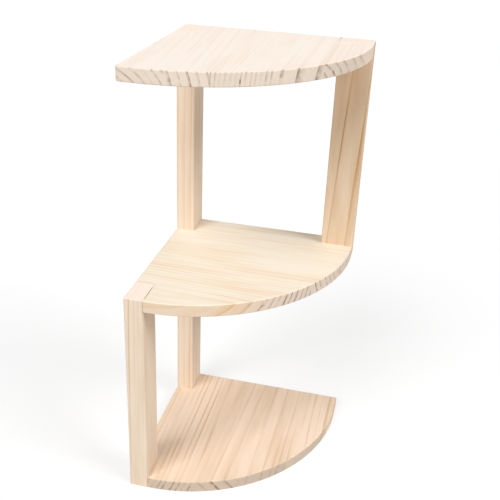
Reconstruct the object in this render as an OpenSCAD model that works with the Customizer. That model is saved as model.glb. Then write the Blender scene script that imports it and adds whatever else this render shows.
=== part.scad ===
// Zigzag corner shelf: three quarter-round pine boards held by three uprights sawn from one planed strip.
// The back post runs the whole height in the room's corner. The left upright joins the bottom and middle
// boards, and the right upright joins the middle and top boards, so each bay is open on one side.
// Every upright sits in notches through the boards, its ends flush with their faces, and is screwed
// from the wall side, where nothing shows.
// +X runs along the back wall, +Y points into that wall and +Z is up. The origin is on the floor,
// under the centre of the square that the boards fit in.

/* [Overall] */
// Height from the floor to the top board's upper face
overall_height = 460; // [380:1:600]
// Length of a board's straight side along each wall
wall_side = 200; // [150:1:300]
// Height of the middle board's upper face above the floor
middle_top = 236.5; // [180:0.5:300]

/* [Boards] */
// Thickness of each board
board_thickness = 13; // [11:0.5:20]
// Radius of the eased edges round each board
board_ease = 1; // [0.5:0.1:3]
// Radius in plan of the top board's free corner, which no upright fills
free_corner = 5; // [4:0.5:12]

/* [Uprights] */
// Thickness of the planed strip that the uprights are sawn from
strip_thickness = 20; // [17:0.5:26]
// Width of the planed strip
strip_width = 35; // [30:0.5:50]
// Radius of the strip's eased long edges
strip_ease = 1.5; // [0.5:0.1:3]
// Radius of the edges round a sawn end
end_ease = 0.5; // [0.2:0.1:1]
// Gap for glue between an upright and the walls of its notch
glue_gap = 0.1; // [0.05:0.05:0.3]

/* [Screws] */
// Length of a screw from its head's face to its point
screw_length = 40; // [34:1:50]
// Diameter of the countersunk head
head_d = 8; // [7:0.1:9]
// Diameter of the smooth shank under the head
shank_d = 4; // [3.5:0.1:4.5]
// Length from the head's face to the end of the smooth shank
shank_length = 15; // [10:1:16]
// Diameter of the screw's core, between its threads
core_d = 2.8; // [2.2:0.1:3]
// Length of the point
point_length = 4; // [3:0.5:6]
// Width of the wings of the cross recess
recess_wing = 0.9; // [0.6:0.1:1.2]
// Span of the cross recess over its wings
recess_span = 4.4; // [3:0.1:5]
// Depth of the cross recess
recess_depth = 1.4; // [0.8:0.1:1.8]
// Depth of a head's face below the upright's face
head_sink = 0.3; // [0.1:0.1:1]
// Gap round the head and the shank in the upright
shank_gap = 0.1; // [0.05:0.05:0.3]
// Gap round the core in the board's pilot hole
pilot_gap = 0.05; // [0.02:0.01:0.1]
// Distance between the two screws of a joint
screw_spacing = 18; // [12:0.5:20]

/* [Hidden] */
$fa = 2;
$fs = 0.25;

deck_colour = "#f8e9d6";
strip_colour = "#ecd5b6";
screw_colour = "#b9bcbe";

// Lower face and mid-height of each board
middle_bottom = middle_top - board_thickness;
bottom_level = board_thickness / 2;
middle_level = middle_top - board_thickness / 2;
top_level = overall_height - board_thickness / 2;

// The rim is an arc that starts where the uprights' faces end, so their faces stay flush with it
rim_start = strip_thickness;
rim_radius = wall_side - rim_start;

// A head's 90 degree cone ends where it meets the shank
head_height = (head_d - shank_d) / 2;
// How far a pilot hole runs past the screw's point
pilot_spare = 1;
// How far a cutting solid runs past the face that it cuts
past = 1;

// Rectangle from its corner at the origin, with round corners
module eased_rectangle(size, ease) {
    translate([ease, 0]) square([size.x - 2 * ease, size.y]);
    translate([0, ease]) square([size.x, size.y - 2 * ease]);
    for (x = [ease, size.x - ease], y = [ease, size.y - ease])
        translate([x, y]) circle(ease);
}

// Moves a child drawn from the room's corner, with the boards on its -Y side, into the part's frame
module at_corner() {
    translate([-wall_side / 2, wall_side / 2, 0]) children();
}

// Quarter disc as thick as a board, with its centre at the origin and both edges of its rim eased
module quarter_disc(radius) {
    rotate_extrude(angle = 90) intersection() {
        translate([-radius, 0]) eased_rectangle([2 * radius, board_thickness], board_ease);
        square([radius, board_thickness]);
    }
}

// Plan of a board at full thickness: a strip along each wall and the quarter disc between them
module board_plan() {
    translate([0, -rim_start, 0]) cube([wall_side, rim_start, board_thickness]);
    translate([0, -wall_side, 0]) cube([rim_start, wall_side, board_thickness]);
    translate([rim_start, -rim_start, 0]) rotate(-90) quarter_disc(rim_radius);
}

// Board before its notches are cut, with its lower face at Z 0: the plan cut by an eased profile swept
// along each wall, and by a square that eases its upright corners
module board_blank() {
    intersection() {
        board_plan();
        rotate([90, 0, 0]) linear_extrude(wall_side) eased_rectangle([wall_side, board_thickness], board_ease);
        translate([0, -wall_side, 0]) rotate([90, 0, 90]) linear_extrude(wall_side)
            eased_rectangle([wall_side, board_thickness], board_ease);
        translate([0, -wall_side, 0]) linear_extrude(board_thickness)
            eased_rectangle([wall_side, wall_side], board_ease);
    }
}

// Board blank whose left front corner is rounded with a small quarter disc
module round_cornered_blank() {
    block = free_corner + past;
    difference() {
        board_blank();
        translate([-past, -wall_side - past, -past]) cube([block, block, board_thickness + 2 * past]);
    }
    translate([free_corner, free_corner - wall_side, 0]) rotate(180) quarter_disc(free_corner);
}

// Length of strip standing on its end, from its corner at the origin, with every edge eased
module strip_blank(size) {
    intersection() {
        linear_extrude(size.z) eased_rectangle([size.x, size.y], strip_ease);
        translate([0, size.y, 0]) rotate([90, 0, 0]) linear_extrude(size.y)
            eased_rectangle([size.x, size.z], end_ease);
        rotate([90, 0, 90]) linear_extrude(size.x) eased_rectangle([size.y, size.z], end_ease);
    }
}

// Notch columns, each as tall as its upright and open on the wall side. A board loses only what
// its own uprights need.
module notches() {
    deep = strip_thickness + glue_gap;
    wide = strip_width + glue_gap;
    translate([-past, -wide, -past]) cube([deep + past, wide + past, overall_height + 2 * past]);
    translate([-past, -wall_side - past, -past])
        cube([deep + past, wide + past, middle_top + 2 * past]);
    translate([wall_side - wide, -deep, middle_bottom - past])
        cube([wide + past, deep + past, overall_height - middle_bottom + 2 * past]);
}

// Countersunk wood screw with its head's face at Z 0 and its point up
module screw() {
    difference() {
        rotate_extrude() polygon([[0, 0], [head_d / 2, 0], [shank_d / 2, head_height],
            [shank_d / 2, shank_length], [core_d / 2, shank_length + (shank_d - core_d) / 2],
            [core_d / 2, screw_length - point_length], [0, screw_length]]);
        for (turn = [0, 90]) rotate(turn)
            translate([-recess_span / 2, -recess_wing / 2, -past])
                cube([recess_span, recess_wing, recess_depth + past]);
    }
}

// Countersunk clearance hole through an upright, from the face at Z 0
module shank_hole() {
    head_r = head_d / 2 + shank_gap;
    shank_r = shank_d / 2 + shank_gap;
    rotate_extrude() polygon([[0, -past], [head_r, -past], [head_r, head_sink],
        [shank_r, head_sink + head_r - shank_r], [shank_r, strip_thickness + past],
        [0, strip_thickness + past]]);
}

// Pilot hole in a board, on the same axis as the upright's hole
module pilot_hole() {
    depth = head_sink + screw_length + pilot_spare;
    translate([0, 0, strip_thickness]) cylinder(h = depth - strip_thickness, d = core_d + 2 * pilot_gap);
}

// Puts its child at both screws of each joint of one upright, on the wall side face whose middle is given
module at_joints(levels, face_middle, across, turn) {
    for (level = levels, side = [-1, 1])
        translate([face_middle.x, face_middle.y, level] + side * screw_spacing / 2 * across)
            rotate(turn) children();
}

module at_back_post_joints() {
    at_joints([bottom_level, middle_level, top_level], [0, -strip_width / 2], [0, 1, 0], [0, 90, 0])
        children();
}

module at_left_upright_joints() {
    at_joints([bottom_level, middle_level], [0, -wall_side + strip_width / 2], [0, 1, 0], [0, 90, 0])
        children();
}

module at_right_upright_joints() {
    at_joints([middle_level, top_level], [wall_side - strip_width / 2, 0], [1, 0, 0], [90, 0, 0])
        children();
}

// Board whose upper face is at the given height, cut from the blank given as its child
module board(upper_face) {
    difference() {
        translate([0, 0, upper_face - board_thickness]) children();
        notches();
        at_back_post_joints() pilot_hole();
        at_left_upright_joints() pilot_hole();
        at_right_upright_joints() pilot_hole();
    }
}

module top_shelf() {
    color(deck_colour) at_corner() board(overall_height) round_cornered_blank();
}

module middle_shelf() {
    color(deck_colour) at_corner() board(middle_top) board_blank();
}

module bottom_shelf() {
    color(deck_colour) at_corner() board(board_thickness) board_blank();
}

module back_post() {
    color(strip_colour) at_corner() difference() {
        translate([0, -strip_width, 0]) strip_blank([strip_thickness, strip_width, overall_height]);
        at_back_post_joints() shank_hole();
    }
}

module left_upright() {
    color(strip_colour) at_corner() difference() {
        translate([0, -wall_side, 0]) strip_blank([strip_thickness, strip_width, middle_top]);
        at_left_upright_joints() shank_hole();
    }
}

module right_upright() {
    color(strip_colour) at_corner() difference() {
        translate([wall_side - strip_width, -strip_thickness, middle_bottom])
            strip_blank([strip_width, strip_thickness, overall_height - middle_bottom]);
        at_right_upright_joints() shank_hole();
    }
}

module back_post_screws() {
    color(screw_colour) at_corner() at_back_post_joints() translate([0, 0, head_sink]) screw();
}

module left_upright_screws() {
    color(screw_colour) at_corner() at_left_upright_joints() translate([0, 0, head_sink]) screw();
}

module right_upright_screws() {
    color(screw_colour) at_corner() at_right_upright_joints() translate([0, 0, head_sink]) screw();
}

top_shelf();
middle_shelf();
bottom_shelf();
back_post();
left_upright();
right_upright();
back_post_screws();
left_upright_screws();
right_upright_screws();
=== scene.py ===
# Looks of the corner shelf: bare planed pine and zinc-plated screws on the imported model's own pieces,
# on a plain pale floor in soft studio light, from the photograph's angle.
import math
from collections import namedtuple

import bmesh
import bpy
from mathutils import Matrix, Vector


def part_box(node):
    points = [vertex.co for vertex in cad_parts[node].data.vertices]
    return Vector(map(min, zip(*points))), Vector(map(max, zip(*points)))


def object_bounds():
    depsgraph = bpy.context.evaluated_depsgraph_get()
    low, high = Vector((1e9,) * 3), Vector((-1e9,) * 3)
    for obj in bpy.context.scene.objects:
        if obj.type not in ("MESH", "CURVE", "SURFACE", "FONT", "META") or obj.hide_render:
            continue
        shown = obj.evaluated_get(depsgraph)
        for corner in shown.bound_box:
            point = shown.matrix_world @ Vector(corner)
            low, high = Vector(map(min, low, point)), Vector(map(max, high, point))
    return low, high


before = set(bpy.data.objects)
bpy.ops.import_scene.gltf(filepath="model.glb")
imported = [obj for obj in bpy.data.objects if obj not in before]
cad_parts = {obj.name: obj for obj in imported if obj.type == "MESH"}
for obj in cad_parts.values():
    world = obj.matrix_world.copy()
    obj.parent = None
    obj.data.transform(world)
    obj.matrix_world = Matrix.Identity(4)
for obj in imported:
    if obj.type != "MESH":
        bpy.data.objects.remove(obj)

cad_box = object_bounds()

MM_PER_M = 1000.0

# Heights of the two upper boards' top faces, in millimetres
TOP_FACE, MIDDLE_FACE = (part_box(node)[1].z * MM_PER_M for node in ("top_shelf", "middle_shelf"))


def linear(colour):
    """Linear RGBA of a colour written as sRGB hex, such as #F8E9D6."""
    channels = [int(colour[i:i + 2], 16) / 255 for i in (1, 3, 5)]
    return [c / 12.92 if c <= 0.04045 else ((c + 0.055) / 1.055) ** 2.4 for c in channels] + [1.0]


def add_node(tree, kind, inputs=None, **settings):
    """Adds a shader node with its settings, and gives each named or numbered input its link or value.
    Returns the node's first output in use, from which .node leads to the others."""
    node = tree.nodes.new("ShaderNode" + kind)
    for name, value in settings.items():
        setattr(node, name, value)
    usable = [socket for socket in node.inputs if socket.enabled]
    for key, value in (inputs or {}).items():
        socket = usable[key] if isinstance(key, int) else next(s for s in usable if s.name == key)
        if isinstance(value, bpy.types.NodeSocket):
            tree.links.new(value, socket)
        else:
            socket.default_value = value
    return next((socket for socket in node.outputs if socket.enabled), None)


def new_tree(material):
    """Switches a material to nodes, and returns its node tree, emptied."""
    material.use_nodes = True
    material.node_tree.nodes.clear()
    return material.node_tree


# A stave is one of the strips that a board is glued up from, and an upright is a single stave. Lengths are
# in millimetres from the model's origin. Across and up are square to the grain: up runs through a board's
# thickness, and towards the back wall in an upright.
# edge: where it starts, across
# heart: where the tree's centre was, across and up, which sets how the growth rings curve and slant
# ring: width of a year's growth
# lean: how far the rings run off across the grain, per millimetre along it
# start: how many rings the pattern is shifted by, which also picks the years that are darker
# lines, ends: how dark the summer wood is on the faces and on the end grain, about 0 to 1.5
# shade: how deep the whole stave's colour is, from 0 to 1
Stave = namedtuple("Stave", "edge heart ring lean start lines ends shade")

# Colours of one piece of pine: spring wood and summer wood on its faces, then on its end grain
Tones = namedtuple("Tones", "spring summer end_spring end_summer")

# Darker patch: its middle and its half sizes in millimetres, and the tint that it gives the wood
Mark = namedtuple("Mark", "middle half_sizes tint")

# Growth rings: how far they wander in millimetres, and how uneven they are as a share of a ring
WANDER = 1.8
UNEVENNESS = 0.3

# Real fibres are a few hundredths of a millimetre wide. They are drawn this wide, so that they show.
FIBRE_WIDTH = 0.9

# How far the colour deepens over a year, on a planed face and on a board's sawn edge
PLANED_DEEPENING = 0.2
# On a board's sawn edge the deeper colour is partly the wood's own and partly painted shade
SAWN_DEEPENING_AND_PAINTED_SHADE = 0.75

# How far the plane leaves the harder summer wood standing proud, in millimetres
PROUD = 0.04


def planed_pine(name, grain, staves, tones, seed, end_from=0.4, side_tint_and_painted_shade="#FFFFFF", marks=()):
    """Bare pine, planed and lightly sanded: pale spring wood with a thin, darker line of summer wood for
    each year, long soft streaks along the fibres, and greyer, more sharply lined end grain. It is matt.
    end_from says how far a face's normal turns to the fibres, from 0 to 1, before the face starts to look
    like end grain. side_tint_and_painted_shade tints the faces that look across the fibres, such as a board's edges."""
    material = bpy.data.materials.new(name)
    tree = new_tree(material)

    def add(kind, inputs=None, **settings):
        return add_node(tree, kind, inputs, **settings)

    axes = {"X": (0, 1, 2), "Y": (1, 0, 2), "Z": (2, 0, 1)}[grain]
    placed = add("TexCoord").node.outputs
    at = add("VectorMath", {0: placed["Object"], "Scale": MM_PER_M}, operation="SCALE")
    parts = add("SeparateXYZ", {0: at}).node.outputs
    along, across, up = (parts[axis] for axis in axes)

    def streaks(width, length, detail, shift):
        """Noise drawn out along the grain, with marks of about that width and length in millimetres."""
        scale = [1 / width] * 3
        scale[axes[0]] = 1 / length
        stretched = add("VectorMath", {0: at, 1: scale, 2: [seed + shift] * 3}, operation="MULTIPLY_ADD")
        return add("TexNoise", {"Vector": stretched, "Scale": 1.0, "Detail": detail})

    def between(value, low, high, from_low=0.0, from_high=1.0, **settings):
        """The value, mapped from its own range onto low to high."""
        return add("MapRange", {"Value": value, "From Min": from_low, "From Max": from_high,
            "To Min": low, "To Max": high}, **settings)

    def per_stave(trait):
        """Vector that holds, at each place, the trait of the stave that it lies in."""
        value = trait(staves[0])
        for before, stave in zip(staves, staves[1:]):
            reached = add("Math", {0: across, 1: stave.edge}, operation="GREATER_THAN")
            step = Vector(trait(stave)) - Vector(trait(before))
            value = add("VectorMath", {0: reached, 1: step, 2: value}, operation="MULTIPLY_ADD")
        return value

    heart = per_stave(lambda stave: (*stave.heart, 0.0))
    pattern = per_stave(lambda stave: (stave.lean, stave.ring, stave.start))
    lean, ring, start = add("SeparateXYZ", {0: pattern}).node.outputs
    strength = per_stave(lambda stave: (stave.lines, stave.ends, stave.shade))
    lines, ends, shade = add("SeparateXYZ", {0: strength}).node.outputs

    # Growth rings: circles round the heart that wander a little along the grain
    straight = add("Math", {0: along, 1: lean, 2: across}, operation="MULTIPLY_ADD")
    wander = between(streaks(45.0, 170.0, 1.0, 3.1), -WANDER, WANDER)
    bent = add("Math", {0: straight, 1: wander}, operation="ADD")
    section = add("CombineXYZ", {"X": bent, "Y": up})
    from_heart = add("VectorMath", {0: section, 1: heart}, operation="SUBTRACT")
    radius = add("VectorMath", {0: from_heart}, operation="LENGTH")
    even_years = add("Math", {0: radius, 1: ring}, operation="DIVIDE")
    uneven = add("TexNoise", {"W": radius, "Scale": 0.08, "Detail": 1.0}, noise_dimensions="1D")
    uneven = between(uneven, -UNEVENNESS, UNEVENNESS)
    shifted = add("Math", {0: even_years, 1: start}, operation="ADD")
    years = add("Math", {0: shifted, 1: uneven}, operation="ADD")
    season = add("Math", {0: years}, operation="FRACT")
    year = add("Math", {0: years, 1: seed}, operation="ADD")
    year = add("Math", {0: year}, operation="FLOOR")
    # How dark each year's summer wood came out
    harvest = between(add("TexWhiteNoise", {"W": year}, noise_dimensions="1D"), 0.2, 1.0)

    # Summer wood is a larger share of a narrow ring. It comes on slowly and stops at once.
    root_of_ring = add("Math", {0: ring}, operation="SQRT")
    to_year_end = add("Math", {0: 1.0, 1: season}, operation="SUBTRACT")
    to_year_end = add("Math", {0: to_year_end, 1: root_of_ring}, operation="MULTIPLY")
    summer = between(to_year_end, 1.0, 0.0, 0.08, 1.0, interpolation_type="SMOOTHSTEP")
    summer = add("Math", {0: summer, 1: harvest}, operation="MULTIPLY")

    # How far a face turns to the end of the fibres, and how far it turns away from up, as an edge does
    facing = add("VectorMath", {0: placed["Normal"]}, operation="ABSOLUTE")
    facing = add("SeparateXYZ", {0: facing}).node.outputs
    endness = between(facing[axes[0]], 0.0, 1.0, end_from, end_from + 0.25, interpolation_type="SMOOTHSTEP")
    edge = between(facing[axes[2]], 1.0, 0.0, 0.3, 0.9, interpolation_type="SMOOTHSTEP")

    # On a face the lines come and go along the grain. The saw tears them a little across the grain.
    showing = between(streaks(22.0, 110.0, 1.0, 11.3), 0.1, 1.5, 0.3, 0.7)
    showing = add("Math", {0: showing, 1: lines}, operation="MULTIPLY")
    face_lines = add("Math", {0: summer, 1: showing}, operation="MULTIPLY")
    torn = between(add("TexNoise", {"Vector": at, "Scale": 0.16, "Detail": 1.0}), 0.2, 1.4, 0.3, 0.7)
    torn = add("Math", {0: torn, 1: ends}, operation="MULTIPLY")

    # Fibres, and wide soft patches where the wood is paler or deeper
    fibres = between(streaks(FIBRE_WIDTH, 45.0, 2.0, 0.0), -0.16, 0.16)
    patches = between(streaks(16.0, 120.0, 2.0, 7.7), -0.7, 0.7)
    depth = add("Math", {0: face_lines, 1: fibres}, operation="ADD")
    depth = add("Math", {0: depth, 1: patches}, operation="ADD")

    # The colour also deepens slowly over a year. That shows most on a board's sawn edge, where it is partly
    # painted shade. An upright is planed all round.
    deepening = PLANED_DEEPENING if grain == "Z" else between(edge, PLANED_DEEPENING, SAWN_DEEPENING_AND_PAINTED_SHADE)
    slow = add("Math", {0: season, 1: harvest}, operation="MULTIPLY")
    depth = add("Math", {0: slow, 1: deepening, 2: depth}, operation="MULTIPLY_ADD")
    depth = add("Math", {0: depth, 1: shade}, operation="ADD", use_clamp=True)
    face = add("Mix", {"Factor": depth, "A": linear(tones.spring), "B": linear(tones.summer)},
        data_type="RGBA")
    # Faces that turn away from up get a darker tint: on a board's sawn edge partly its own tone and partly
    # painted shade, on an upright's sides painted shade only
    face = add("Mix", {"Factor": edge, "A": face, "B": linear(side_tint_and_painted_shade)}, data_type="RGBA",
        blend_type="MULTIPLY")

    # End grain: the same rings, with open pores
    pores = between(add("TexNoise", {"Vector": at, "Scale": 1.1, "Detail": 2.0}), -0.14, 0.2)
    end_depth = add("Math", {0: summer, 1: torn, 2: pores}, operation="MULTIPLY_ADD")
    end_depth = add("Math", {0: end_depth, 1: shade}, operation="ADD", use_clamp=True)
    end = add("Mix", {"Factor": end_depth, "A": linear(tones.end_spring), "B": linear(tones.end_summer)},
        data_type="RGBA")
    colour = add("Mix", {"Factor": endness, "A": face, "B": end}, data_type="RGBA")

    for mark in marks:
        off = add("VectorMath", {0: at, 1: mark.middle}, operation="SUBTRACT")
        off = add("VectorMath", {0: off, 1: mark.half_sizes}, operation="DIVIDE")
        off = add("VectorMath", {0: off}, operation="LENGTH")
        cover = between(off, 1.0, 0.0, 0.5, 1.0, interpolation_type="SMOOTHSTEP")
        colour = add("Mix", {"Factor": cover, "A": colour, "B": linear(mark.tint)}, data_type="RGBA",
            blend_type="MULTIPLY")

    # Summer wood stands proud and is a little smoother. End grain is rougher.
    relief = add("Math", {0: summer, 1: fibres}, operation="ADD")
    bump = add("Bump", {"Strength": 0.5, "Distance": PROUD / MM_PER_M, "Height": relief})
    face_roughness = between(summer, 0.62, 0.5)
    roughness = add("Math", {0: endness, 1: 0.15, 2: face_roughness}, operation="MULTIPLY_ADD")
    shader = add("BsdfPrincipled",
        {"Base Color": colour, "Roughness": roughness, "IOR": 1.5, "Normal": bump})
    add("OutputMaterial", {"Surface": shader})
    return material


def zinc_plated_steel(name):
    """Steel with a bright zinc coat: cool grey metal with a soft gloss, mottled where the bath dried."""
    mottle_size = 1.5
    material = bpy.data.materials.new(name)
    tree = new_tree(material)
    placed = add_node(tree, "TexCoord").node.outputs["Object"]
    mottle = add_node(tree, "TexNoise",
        {"Vector": placed, "Scale": MM_PER_M / mottle_size, "Detail": 2.0})
    colour = add_node(tree, "Mix", {"Factor": mottle, "A": linear("#B4B8BC"), "B": linear("#D2D1CB")},
        data_type="RGBA")
    roughness = add_node(tree, "MapRange", {"Value": mottle, "To Min": 0.28, "To Max": 0.46})
    bump = add_node(tree, "Bump", {"Strength": 0.3, "Distance": 0.02 / MM_PER_M, "Height": mottle})
    shader = add_node(tree, "BsdfPrincipled", {"Base Color": colour, "Metallic": 1.0,
        "Roughness": roughness, "Normal": bump})
    add_node(tree, "OutputMaterial", {"Surface": shader})
    return material


# Painted shade in the seams where an upright's end lies in a board, a small knot in the top board's rim,
# and the grubby foot of the left upright's outer corner
TOP_SEAM_PAINTED_SHADE = Mark((65, 96.5, TOP_FACE), (0.9, 4.0, 2.0), "#A49B91")
MIDDLE_SEAM_PAINTED_SHADE = Mark((-80, -82, MIDDLE_FACE), (0.6, 18.0, 2.0), "#B09C86")
KNOT = Mark((3.7, -79.4, TOP_FACE - 8.2), (0.7, 2.0, 3.2), "#957D67")
DARK_FOOT = Mark((-100, -99.6, 15), (1.2, 1.2, 1.5), "#7A6E63")

# The side tints below darken the faces that turn away from up, partly as painted shade
top_board = planed_pine("top_board_planed_pine", "Y", [
    Stave(-100, (-135, 405), 6.5, 0.10, 0.66, 0.3, 0.7, 0.02),
    Stave(-57, (-158, 425), 8.0, 0.10, 0.44, 0.3, 0.8, 0.0),
    Stave(-20, (144.5, 440), 3.9, 0.01, 0.3, 1.0, 0.6, 0.04),
    Stave(3, (144.5, 440), 3.9, 0.01, 0.3, 0.4, 0.6, 0.01),
    Stave(30, (148, 440), 13.6, 0.0, 0.5, 0.35, 1.0, 0.0),
    Stave(66, (48, 440), 5.2, 0.0, 0.7, 0.4, 0.75, 0.08),
], Tones("#FEF2E7", "#F6E2CF", "#E7D8C8", "#957A62"), seed=1.0, end_from=0.15, side_tint_and_painted_shade="#F2EAE2",
    marks=[KNOT, TOP_SEAM_PAINTED_SHADE])

middle_board = planed_pine("middle_board_planed_pine", "X", [
    Stave(-100, (-125, 262), 8.4, 0.06, 0.5, 0.5, 0.9, 0.08),
    Stave(-62, (-125, 262), 5.4, 0.06, 1.5, 0.85, 1.4, 0.05),
    Stave(-19, (80, 262), 7.3, 0.02, 17.68, 0.35, 0.9, 0.0),
    Stave(30, (140, 262), 9.0, -0.01, 0.3, 0.3, 0.5, 0.04),
], Tones("#EEE4D3", "#E5C6A0", "#E5D3C2", "#8A715C"), seed=7.0, end_from=0.45, side_tint_and_painted_shade="#F5EAE0",
    marks=[MIDDLE_SEAM_PAINTED_SHADE])

bottom_board = planed_pine("bottom_board_planed_pine", "Y", [
    Stave(-100, (-220, 75), 6.2, 0.02, 0.2, 0.95, 1.0, 0.1),
    Stave(-32, (-97, -60), 11.0, -0.04, 0.52, 0.3, 1.0, 0.12),
    Stave(11, (140, -10), 7.2, 0.0, 0.5, 0.4, 0.45, 0.13),
    Stave(60, (190, -10), 8.0, 0.02, 0.5, 0.7, 0.1, 0.0),
], Tones("#F0D8C1", "#CFAE8B", "#D1BEAB", "#82694F"), seed=3.0, end_from=0.13)

back_post = planed_pine("back_post_planed_pine", "Z", [
    Stave(-100, (-150, 40), 6.2, -0.004, 0.74, 0.6, 0.3, 0.03),
], Tones("#F1DDC8", "#E4C5A2", "#FCEDDF", "#EBD3BD"), seed=4.0)

left_upright = planed_pine("left_upright_planed_pine", "Z", [
    Stave(-100, (-250, -80), 4.7, -0.02, 0.5, 0.6, 0.4, 0.0),
], Tones("#E9D6C1", "#CCAF8B", "#F3E3D6", "#E3CCBA"), seed=5.0, side_tint_and_painted_shade="#FDFBF9",
    marks=[DARK_FOOT, MIDDLE_SEAM_PAINTED_SHADE])

right_upright = planed_pine("right_upright_planed_pine", "Z", [
    Stave(60, (151.9, 95), 21.7, -0.052, 0.52, 0.8, 0.3, 0.13),
], Tones("#EDD4B7", "#C89A67", "#FCEDDF", "#EBD3BD"), seed=6.0, marks=[TOP_SEAM_PAINTED_SHADE])

zinc = zinc_plated_steel("zinc_plated_screw_steel")

FINISHES = {
    "top_shelf": top_board,
    "middle_shelf": middle_board,
    "bottom_shelf": bottom_board,
    "back_post": back_post,
    "left_upright": left_upright,
    "right_upright": right_upright,
    "back_post_screws": zinc,
    "left_upright_screws": zinc,
    "right_upright_screws": zinc,
}
for node, finish in FINISHES.items():
    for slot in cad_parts[node].material_slots:
        slot.material = finish


def plain_floor():
    """Floor of pale matt card. The camera sees it lifted most of the way to white, which keeps the shelf's
    shadow on it and leaves the light on the shelf as it is."""
    half_size, clearance = 12.0, 0.0002
    lift = 0.65
    mesh = bpy.data.meshes.new("floor")
    grid = bmesh.new()
    bmesh.ops.create_grid(grid, x_segments=8, y_segments=8, size=half_size)
    grid.to_mesh(mesh)
    grid.free()
    floor = bpy.data.objects.new("floor", mesh)
    floor.location.z = cad_box[0][2] - clearance
    bpy.context.scene.collection.objects.link(floor)
    material = bpy.data.materials.new("pale_matt_card")
    tree = new_tree(material)
    card = add_node(tree, "BsdfDiffuse", {"Color": linear("#DAD9D7")})
    white_card = add_node(tree, "BsdfDiffuse", {"Color": linear("#FFFFFF")})
    white = add_node(tree, "Emission", {"Color": linear("#FFFFFF"), "Strength": 1.0})
    seen = add_node(tree, "MixShader", {0: lift, 1: white_card, 2: white})
    rays = add_node(tree, "LightPath").node.outputs
    shader = add_node(tree, "MixShader", {0: rays["Is Camera Ray"], 1: card, 2: seen})
    add_node(tree, "OutputMaterial", {"Surface": shader})
    mesh.materials.append(material)


# Lamp so far off that only its direction counts, with angles in degrees
# bearing: how far it stands to the right of straight in front of the shelf
# height: how high it stands
# width: how wide it looks
# level: its strength, where 1 lights a white card that faces it to white
Lamp = namedtuple("Lamp", "name bearing height width level")


def studio_light():
    """White room all round, with a large soft key lamp from the front left and a fill from the right."""
    lamps = Lamp("key", -24, 44, 36, 0.7), Lamp("fill", 75, 42, 30, 0.56)
    room_level = 0.215
    world = bpy.data.worlds.new("white_room")
    bpy.context.scene.world = world
    world.use_nodes = True
    tree = world.node_tree
    tree.nodes.clear()
    room = add_node(tree, "Background", {"Color": linear("#FFFFFF"), "Strength": room_level})
    seen = add_node(tree, "Background", {"Color": linear("#FFFFFF"), "Strength": 1.0})
    rays = add_node(tree, "LightPath").node.outputs
    shader = add_node(tree, "MixShader", {0: rays["Is Camera Ray"], 1: room, 2: seen})
    add_node(tree, "OutputWorld", {"Surface": shader})
    for lamp in lamps:
        sun = bpy.data.lights.new(lamp.name, "SUN")
        sun.angle = math.radians(lamp.width)
        sun.energy = lamp.level * math.pi
        body = bpy.data.objects.new(lamp.name, sun)
        turn, rise = math.radians(lamp.bearing), math.radians(lamp.height)
        towards = Vector(
            (math.sin(turn) * math.cos(rise), -math.cos(turn) * math.cos(rise), math.sin(rise)))
        body.rotation_euler = towards.to_track_quat("Z", "Y").to_euler()
        bpy.context.scene.collection.objects.link(body)


def photograph_camera():
    """Camera fitted to the edges of the shelf in the photograph. Its place is in metres. It turns to the
    right, dips and rolls by angles in degrees."""
    image_width = 500
    focal_pixels = 769.27
    place = Vector((0.15295, -0.69663, 0.61639))
    turn, dip, roll = (math.radians(angle) for angle in (-12.286, 26.825, 2.522))
    ahead = Vector((math.sin(turn) * math.cos(dip), math.cos(turn) * math.cos(dip), -math.sin(dip)))
    level = Vector((math.cos(turn), -math.sin(turn), 0.0))
    rise = level.cross(ahead)
    right = math.cos(roll) * level + math.sin(roll) * rise
    top = math.cos(roll) * rise - math.sin(roll) * level
    camera = bpy.data.cameras.new("camera")
    camera.sensor_width = 36.0
    camera.lens = focal_pixels / image_width * camera.sensor_width
    body = bpy.data.objects.new("camera", camera)
    body.matrix_world = Matrix.Translation(place) @ Matrix((right, top, -ahead)).transposed().to_4x4()
    bpy.context.scene.collection.objects.link(body)
    bpy.context.scene.camera = body


plain_floor()
studio_light()
photograph_camera()
bpy.context.scene.view_settings.view_transform = "Standard"
